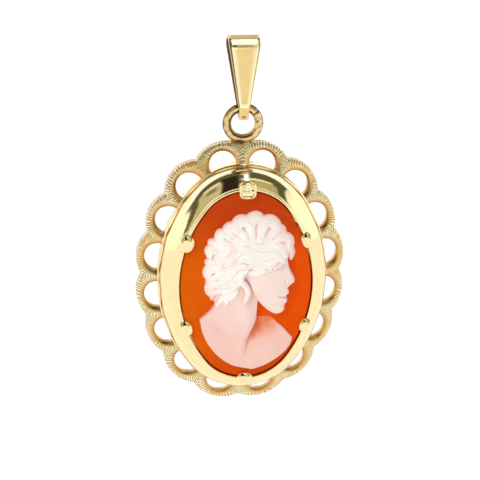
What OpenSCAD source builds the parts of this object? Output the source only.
// Shell cameo pendant: a scalloped gold setting that hangs by its ring in a folded bail.
// The origin is the inside top of the bail's eye, from which it hangs. The face looks to -Y.

/* [Bail] */
// Width of the bail at its top
bail_w = 3.1; // [2.8:0.1:5]
// Width of the tongue that goes through the ring
tongue_w = 1.0; // [0.7:0.1:1]
// Width of the front where it meets the tongue
neck_w = 1.1; // [1:0.05:1.6]
// Radius of the hollow in the eye
eye_r = 1.1; // [0.6:0.05:1.4]
// Thickness of the bail's sheet
sheet_t = 0.35; // [0.25:0.05:0.5]
// Height from the eye's centre down to the ring's wire
leg_l = 5.72; // [5:0.01:9]
// Length of the soldered tip under the ring's wire
tip_l = 0.65; // [0.4:0.05:0.75]
// Width of the bevel beside the raised panel
bevel_w = 0.12; // [0.08:0.02:0.3]
// Rise of the panel over the bevel
panel_rise = 0.12; // [0.08:0.02:0.3]

/* [Ring] */
// Outer diameter of the hanging ring
ring_d = 4.1; // [3.8:0.1:6]
// Thickness of the ring's wire
wire_d = 0.9; // [0.6:0.05:1]
// Clearance between the ring's wire and the tongue's loop
wire_gap = 0.05; // [0.03:0.01:0.12]
// Depth by which the ring is soldered into the border
solder_d = 0.25; // [0.15:0.05:0.3]

/* [Stone] */
// Width of the opening that shows the stone
opening_w = 13.3; // [11:0.1:15]
// Height of the opening that shows the stone
opening_h = 19.5; // [17:0.1:22]
// Thickness of the orange ground
ground_t = 1.9; // [1.4:0.1:2.4]
// Clearance between the stone and its seat
stone_gap = 0.06; // [0.04:0.01:0.1]

/* [Bezel] */
// Width of the domed collar round the stone
collar_w = 1.8; // [1.5:0.1:2.4]
// Height of the domed collar
collar_h = 2.9; // [2.5:0.1:3.4]
// Thickness of the collar's sheet
collar_t = 0.45; // [0.3:0.05:0.5]
// Height of the straight wall under the collar
wall_h = 1.5; // [1.3:0.1:2]
// Width of the fine rim at the foot of the collar
rim_w = 0.1; // [0.05:0.05:0.2]
// Depth of the stone's face under the collar's edge
face_drop = 0.15; // [0.1:0.05:0.3]
// Width of the ledge under the stone
ledge_w = 0.7; // [0.4:0.1:1]

/* [Border] */
// Number of scallops round the setting, a multiple of four
scallops = 16; // [12:4:20]
// Width of the border from the collar to the tips
border_w = 2.3; // [2:0.05:2.8]
// Thickness of the border's plate
border_t = 1.0; // [0.7:0.05:1.2]
// Width of the border at the tip of a scallop
crown_w = 0.8; // [0.6:0.05:1]
// Radius of the pierced holes
hole_r = 1.35; // [1:0.05:1.4]
// Depth of the notches between the scallops
notch_d = 0.6; // [0.4:0.05:0.8]
// Angle by which the border leans back from the collar
lean = 20; // [5:1:25]
// Width of the pad that carries the ring
pad_w = 2.6; // [2:0.1:3]

/* [Claws] */
// Radius of the round claws
claw_r = 0.78; // [0.6:0.02:0.95]
// Height of the claws over the stone's face
claw_h = 0.55; // [0.4:0.05:0.7]
// Distance of the claws' centres outside the opening
claw_out = 0.14; // [0.1:0.02:0.3]
// Angle of the side claws, from the top of the stone
claw_angle = 70; // [60:1:75]

/* [Relief] */
// Height of the hair over the ground
hair_h = 1.5; // [1:0.1:1.8]
// Height of the face and neck over the ground
head_h = 1.15; // [0.8:0.05:1.4]
// Height of the shoulder over the ground
bust_h = 1.1; // [0.7:0.1:1.3]
// Height of the thin drape over the ground
drape_h = 0.4; // [0.3:0.05:0.5]
// Radius of a curl
curl_r = 1.05; // [0.8:0.05:1.2]
// Radius of the relief's rounded front
round_r = 12; // [10:1:20]

/* [Hang] */
// Angle at which the drop hangs from its ring, its foot swung back
hang_tilt = 6.6; // [0:0.1:12]

/* [Hidden] */
$fn = 64;
cut = 1;
ease = 0.06;

// Bail and ring, measured from the eye's centre and the ring's wire
eye_z = -eye_r;
eye_out = eye_r + sheet_t;
ring_r = (ring_d - wire_d) / 2;
wire_sag = ring_r - sqrt(ring_r * ring_r - tongue_w * tongue_w / 4);
loop_r = wire_d / 2 + wire_sag + wire_gap;
loop_out = loop_r + sheet_t;
pivot_z = eye_z - leg_l;
panel_top = eye_z + 0.6 * eye_r;
tip_y = 1.5 * sheet_t;
tip_z = pivot_z - loop_r - tip_l;

// The oval is four arcs whose centres lie on a 3-4-5 triangle, and every offset of it shares them
half_w = opening_w / 2;
half_h = opening_h / 2;
side_c = 2 * (half_h - half_w);
end_c = side_c * 3 / 4;
end_r = half_h - end_c;
side_r = half_w + side_c;
turn = atan2(4, 3);
reach = 2 * half_h;

// Heights in front of the ring's plane
border_z = 0.3;
back_z = border_z - border_t / 2;
foot_z = back_z + wall_h;
collar_z = foot_z + collar_h;
face_z = collar_z - face_drop;
ledge_z = face_z - ground_t - stone_gap;

// Lengths along the collar's foot and the place of the drop's centre
end_l = (end_r + collar_w) * turn * PI / 180;
quarter_l = end_l + (side_r + collar_w) * (90 - turn) * PI / 180;
step_l = 4 * quarter_l / scallops;
spread = border_w * cos(lean);
top_y = half_h + collar_w + spread;
ring_y = top_y - solder_d + ring_d / 2;
drop_l = ring_y + ring_r;

// A point of the oval, offset by o, whose outward normal is n degrees from the top
function oval_half(o, n) =
    n <= turn ? [(end_r + o) * sin(n), end_c + (end_r + o) * cos(n)] :
    n <= 180 - turn ? [(side_r + o) * sin(n) - side_c, (side_r + o) * cos(n)] :
    [(end_r + o) * sin(n), (end_r + o) * cos(n) - end_c];
function oval_point(o, n) =
    n <= 180 ? oval_half(o, n) : [-oval_half(o, 360 - n)[0], oval_half(o, 360 - n)[1]];

// The normal's angle after a length s along the collar's foot, clockwise from the top
function normal_in_quarter(t) =
    t <= end_l ? t / (end_r + collar_w) * 180 / PI :
    turn + (t - end_l) / (side_r + collar_w) * 180 / PI;
function normal_at(s) =
    s <= quarter_l ? normal_in_quarter(s) :
    s <= 2 * quarter_l ? 180 - normal_in_quarter(2 * quarter_l - s) :
    s <= 3 * quarter_l ? 180 + normal_in_quarter(s - 2 * quarter_l) :
    360 - normal_in_quarter(4 * quarter_l - s);

// A smooth closed outline through hand-chosen points
function spline_at(a, b, c, d, t) =
    0.5 * (2 * b + (c - a) * t + (2 * a - 5 * b + 4 * c - d) * t * t + (3 * b - a - 3 * c + d) * t * t * t);
function outline(points, steps) = [
    for (i = [0 : len(points) - 1], k = [0 : steps - 1])
        spline_at(
            points[(i + len(points) - 1) % len(points)],
            points[i],
            points[(i + 1) % len(points)],
            points[(i + 2) % len(points)],
            k / steps
        )
];

// Outlines of the relief, as shares of the opening's half width and half height
bust_outline = [
    [-0.46, -0.18], [-0.72, -0.32], [-0.70, -0.48], [-0.56, -0.70], [-0.30, -0.86], [0.05, -0.90],
    [0.36, -0.84], [0.50, -0.70], [0.42, -0.50], [0.22, -0.34], [0.10, -0.20]
];
drape_outline = [
    [0.16, -0.33], [0.40, -0.35], [0.68, -0.56], [0.62, -0.68], [0.36, -0.86], [0.10, -0.80], [0.06, -0.52]
];
head_outline = [
    [0.48, 0.50], [0.60, 0.36], [0.61, 0.26], [0.64, 0.18], [0.73, 0.05], [0.66, 0.00], [0.62, -0.03],
    [0.64, -0.08], [0.60, -0.12], [0.62, -0.17], [0.58, -0.22], [0.57, -0.28], [0.46, -0.33],
    [0.28, -0.30], [0.18, -0.40], [-0.30, -0.36], [-0.40, 0.00], [-0.40, 0.40], [-0.10, 0.60], [0.25, 0.62]
];
hair_outline = [
    [0.60, 0.44], [0.49, 0.61], [0.28, 0.71], [0.02, 0.74], [-0.24, 0.67], [-0.43, 0.52], [-0.53, 0.34],
    [-0.55, 0.12], [-0.49, -0.10], [-0.36, -0.15], [-0.18, -0.08], [-0.06, 0.08], [0.10, 0.24],
    [0.36, 0.30], [0.54, 0.34]
];

// Middle of the hair, and the curls: x and y as shares of the half sizes, size as a share of curl_r
hair_middle = [-0.05, 0.30];
curls = [
    [0.08, 0.66, 1.05], [0.32, 0.64, 0.95], [0.49, 0.54, 0.85], [0.58, 0.42, 0.80],
    [-0.14, 0.62, 1.00], [-0.32, 0.53, 0.95], [-0.43, 0.41, 0.90], [-0.49, 0.28, 0.90],
    [-0.51, 0.14, 0.85], [-0.50, 0.01, 0.85], [-0.45, -0.11, 0.85], [-0.31, -0.13, 0.85],
    [-0.18, 0.42, 1.20], [0.10, 0.46, 1.25], [0.36, 0.42, 1.05], [-0.33, 0.22, 1.15], [-0.10, 0.22, 1.05]
];

// A share of the opening's half sizes as a length
function placed(p) = [p[0] * half_w, p[1] * half_h];

// The sector of the upper end arc and that of the right side arc, which meet on one line
module end_sector() {
    polygon([[0, end_c], [4 * reach, end_c + 3 * reach], [-4 * reach, end_c + 3 * reach]]);
}
module side_sector() {
    polygon([[0, end_c], [4 * reach, end_c + 3 * reach], [4 * reach, -end_c - 3 * reach], [0, -end_c]]);
}

// The filled oval, offset by o
module oval(o) {
    intersection() {
        translate([-side_c, 0]) circle(side_r + o, $fn = 180);
        translate([side_c, 0]) circle(side_r + o, $fn = 180);
        union() {
            side_sector();
            rotate([0, 0, 180]) side_sector();
        }
    }
    for (s = [0, 180]) {
        rotate([0, 0, s]) intersection() {
            translate([0, end_c]) circle(end_r + o, $fn = 120);
            end_sector();
        }
    }
}

// A section turned round the oval: its child is drawn with x as the offset from the opening's edge
module round_oval() {
    for (s = [0, 180]) {
        rotate([0, 0, s]) intersection() {
            translate([0, end_c, 0]) rotate_extrude($fn = 120) translate([end_r, 0]) children();
            linear_extrude(height = 4 * collar_h, center = true) end_sector();
        }
        rotate([0, 0, s]) intersection() {
            translate([-side_c, 0, 0]) rotate_extrude($fn = 180) translate([side_r, 0]) children();
            linear_extrude(height = 4 * collar_h, center = true) side_sector();
        }
    }
}

// Stands a part drawn flat, face up, into its hanging place
module hung() {
    translate([0, 0, pivot_z]) rotate([hang_tilt, 0, 0]) translate([0, 0, -drop_l]) rotate([90, 0, 0])
        children();
}

// Front view of the bail: a tapered strip with a tongue
module bail_front() {
    top = eye_z + eye_out + ease;
    polygon([
        [-bail_w / 2, top], [bail_w / 2, top], [bail_w / 2, eye_z + eye_r / 2],
        [neck_w / 2, pivot_z], [tongue_w / 2, pivot_z - ease], [tongue_w / 2, tip_z + tongue_w / 4],
        [tongue_w / 4, tip_z], [-tongue_w / 4, tip_z], [-tongue_w / 2, tip_z + tongue_w / 4],
        [-tongue_w / 2, pivot_z - ease], [-neck_w / 2, pivot_z], [-bail_w / 2, eye_z + eye_r / 2]
    ]);
}

// Side view of the strip, folded over at its eye and closed under the ring's wire
module strip_side() {
    translate([0, eye_z]) circle(eye_out);
    translate([0, pivot_z]) circle(loop_out);
    polygon([
        [-eye_out, eye_z], [eye_out, eye_z], [loop_out, pivot_z], [tip_y, tip_z],
        [-tip_y, tip_z], [-loop_out, pivot_z]
    ]);
}

// The hollow between the two legs, from the eye down to the loop
module strip_hollow() {
    translate([0, eye_z]) circle(eye_r);
    translate([0, pivot_z]) circle(loop_r);
    polygon([[-eye_r, eye_z], [eye_r, eye_z], [loop_r, pivot_z], [-loop_r, pivot_z]]);
}

module bail() {
    panel_foot = pivot_z + ease;
    panel_back = 0.8 * sheet_t;
    color("gold") difference() {
        union() {
            intersection() {
                rotate([90, 0, 90]) linear_extrude(height = bail_w + cut, center = true) strip_side();
                rotate([90, 0, 0]) linear_extrude(height = 4 * eye_out, center = true) bail_front();
            }
            // raised panel on the front leg
            intersection() {
                rotate([90, 0, 90]) linear_extrude(height = bail_w, center = true) polygon([
                    [-eye_out - panel_rise, panel_top], [-eye_out + panel_back, panel_top],
                    [-loop_out + panel_back, panel_foot], [-loop_out - panel_rise, panel_foot]
                ]);
                rotate([90, 0, 0]) linear_extrude(height = 4 * eye_out, center = true) polygon([
                    [bevel_w - bail_w / 2, panel_top + ease], [bail_w / 2 - bevel_w, panel_top + ease],
                    [neck_w / 2 - bevel_w, panel_foot - ease], [bevel_w - neck_w / 2, panel_foot - ease]
                ]);
            }
        }
        rotate([90, 0, 90]) linear_extrude(height = bail_w + 2 * cut, center = true) strip_hollow();
    }
}

// The arch of one scallop in plan: a disc through its two notches and its tip
module arch(i) {
    n = normal_at((i + 0.5) * step_l);
    along = [cos(n), -sin(n)];
    out = [sin(n), cos(n)];
    tip = oval_point(collar_w + spread, n);
    notch_a = oval_point(collar_w + spread - notch_d, normal_at(i * step_l)) - tip;
    notch_b = oval_point(collar_w + spread - notch_d, normal_at((i + 1) * step_l)) - tip;
    chord = (notch_b * along - notch_a * along) / 2;
    fall = -(notch_a * out + notch_b * out) / 2;
    arch_r = (chord * chord + fall * fall) / (2 * fall);
    p = oval_point(collar_w + spread - arch_r, n);
    translate(p) circle(arch_r, $fn = 96);
}

// The hole of one scallop in plan
module hole(i) {
    p = oval_point(collar_w + spread - crown_w - hole_r, normal_at((i + 0.5) * step_l));
    translate(p) circle(hole_r);
}

// Section of the border's plate, which leans back from the wall
module border_section() {
    half_t = border_t / 2 / cos(lean);
    root = collar_t / 2;
    far = border_w + cut;
    polygon([
        [collar_w - root, border_z + half_t + root * tan(lean)],
        [collar_w + far, border_z + half_t - far * tan(lean)],
        [collar_w + far, border_z - half_t - far * tan(lean)],
        [collar_w - root, border_z - half_t + root * tan(lean)]
    ]);
}

module border() {
    intersection() {
        round_oval() border_section();
        linear_extrude(height = 4 * collar_h, center = true) difference() {
            union() {
                for (i = [0 : scallops - 1]) {
                    arch(i);
                }
            }
            for (i = [0 : scallops - 1]) {
                hole(i);
            }
        }
    }
}

// Section of the collar, its wall, its rim, the tube round the stone and the ledge under it
module bezel_section() {
    dome_r = (collar_w * collar_w + collar_h * collar_h) / (2 * collar_w);
    dome_o = collar_w - dome_r;
    tube_t = 0.8 * collar_t;
    intersection() {
        difference() {
            translate([dome_o, foot_z]) circle(dome_r, $fn = 120);
            translate([dome_o, foot_z]) circle(dome_r - collar_t, $fn = 120);
        }
        translate([0, foot_z]) square([collar_w + cut, collar_h + cut]);
    }
    translate([collar_w - collar_t, back_z]) square([collar_t, foot_z + ease - back_z]);
    translate([collar_w - collar_t, foot_z - 2 * rim_w]) square([collar_t + rim_w, 2 * rim_w]);
    translate([0, ledge_z - collar_t]) square([tube_t, collar_z - collar_t / 2 - ledge_z + collar_t]);
    translate([-ledge_w, ledge_z - collar_t]) square([ledge_w + tube_t, collar_t]);
}

// The space kept free for the stone
module stone_space(gap) {
    translate([0, 0, ledge_z - ease]) linear_extrude(height = face_z + gap - ledge_z + ease) oval(-gap / 2);
}

// A claw: a round stud that stands on the collar's edge, bevelled at its top
module claw(n) {
    p = oval_point(claw_out, n);
    bevel = claw_h / 2;
    translate([p[0], p[1], face_z - claw_h]) cylinder(r = claw_r, h = 2 * claw_h - bevel, $fn = 48);
    translate([p[0], p[1], face_z + claw_h - bevel])
        cylinder(r1 = claw_r, r2 = claw_r - bevel, h = bevel, $fn = 48);
}

module ring() {
    translate([0, ring_y, 0]) rotate_extrude($fn = 96) translate([ring_r, 0]) circle(wire_d / 2, $fn = 48);
}

// The pad that the ring is soldered to, in the notch at the top
module ring_pad() {
    foot_y = half_h + collar_w + border_w / 3;
    lean_z = border_z - spread * tan(lean);
    translate([0, 0, lean_z - border_t / 2 + ease]) linear_extrude(height = border_t) polygon([
        [-pad_w / 4, foot_y], [pad_w / 4, foot_y], [pad_w / 2, top_y - notch_d / 2], [pad_w / 3, top_y + ease],
        [-pad_w / 3, top_y + ease], [-pad_w / 2, top_y - notch_d / 2]
    ]);
}

module setting() {
    color("goldenrod") hung() {
        difference() {
            union() {
                round_oval() bezel_section();
                for (n = [0, claw_angle, 180 - claw_angle, 180, 180 + claw_angle, 360 - claw_angle]) {
                    claw(n);
                }
            }
            stone_space(stone_gap);
        }
        border();
        ring_pad();
        ring();
    }
}

module cameo_ground() {
    color("orangered") hung() {
        translate([0, 0, face_z - ground_t]) linear_extrude(height = ground_t) oval(-stone_gap - ease);
    }
}

// An outline raised over the ground, with a rounded front that is highest at its middle
module raised(points, height, middle) {
    intersection() {
        translate([0, 0, face_z]) linear_extrude(height = height + cut)
            polygon(outline([for (p = points) placed(p)], 3));
        translate([placed(middle)[0], placed(middle)[1], face_z + height - round_r]) sphere(round_r, $fn = 120);
    }
}

module hair_curls() {
    intersection() {
        translate([-half_w, -half_h, face_z]) cube([2 * half_w, 2 * half_h, hair_h + curl_r]);
        union() {
            for (c = curls) {
                p = placed(c);
                from_middle = norm(p - placed(hair_middle));
                fall = round_r - sqrt(round_r * round_r - from_middle * from_middle);
                sink = 0.8 * curl_r;
                translate([p[0], p[1], face_z + hair_h - fall - sink]) sphere(curl_r * c[2], $fn = 40);
            }
        }
    }
}

module cameo_relief() {
    color("mistyrose") hung() {
        raised(bust_outline, bust_h, [-0.10, -0.50]);
        raised(drape_outline, drape_h, [0.30, -0.55]);
        raised(head_outline, head_h, [0.15, 0.10]);
        raised(hair_outline, 0.85 * hair_h, hair_middle);
        hair_curls();
    }
}

bail();
setting();
cameo_ground();
cameo_relief();
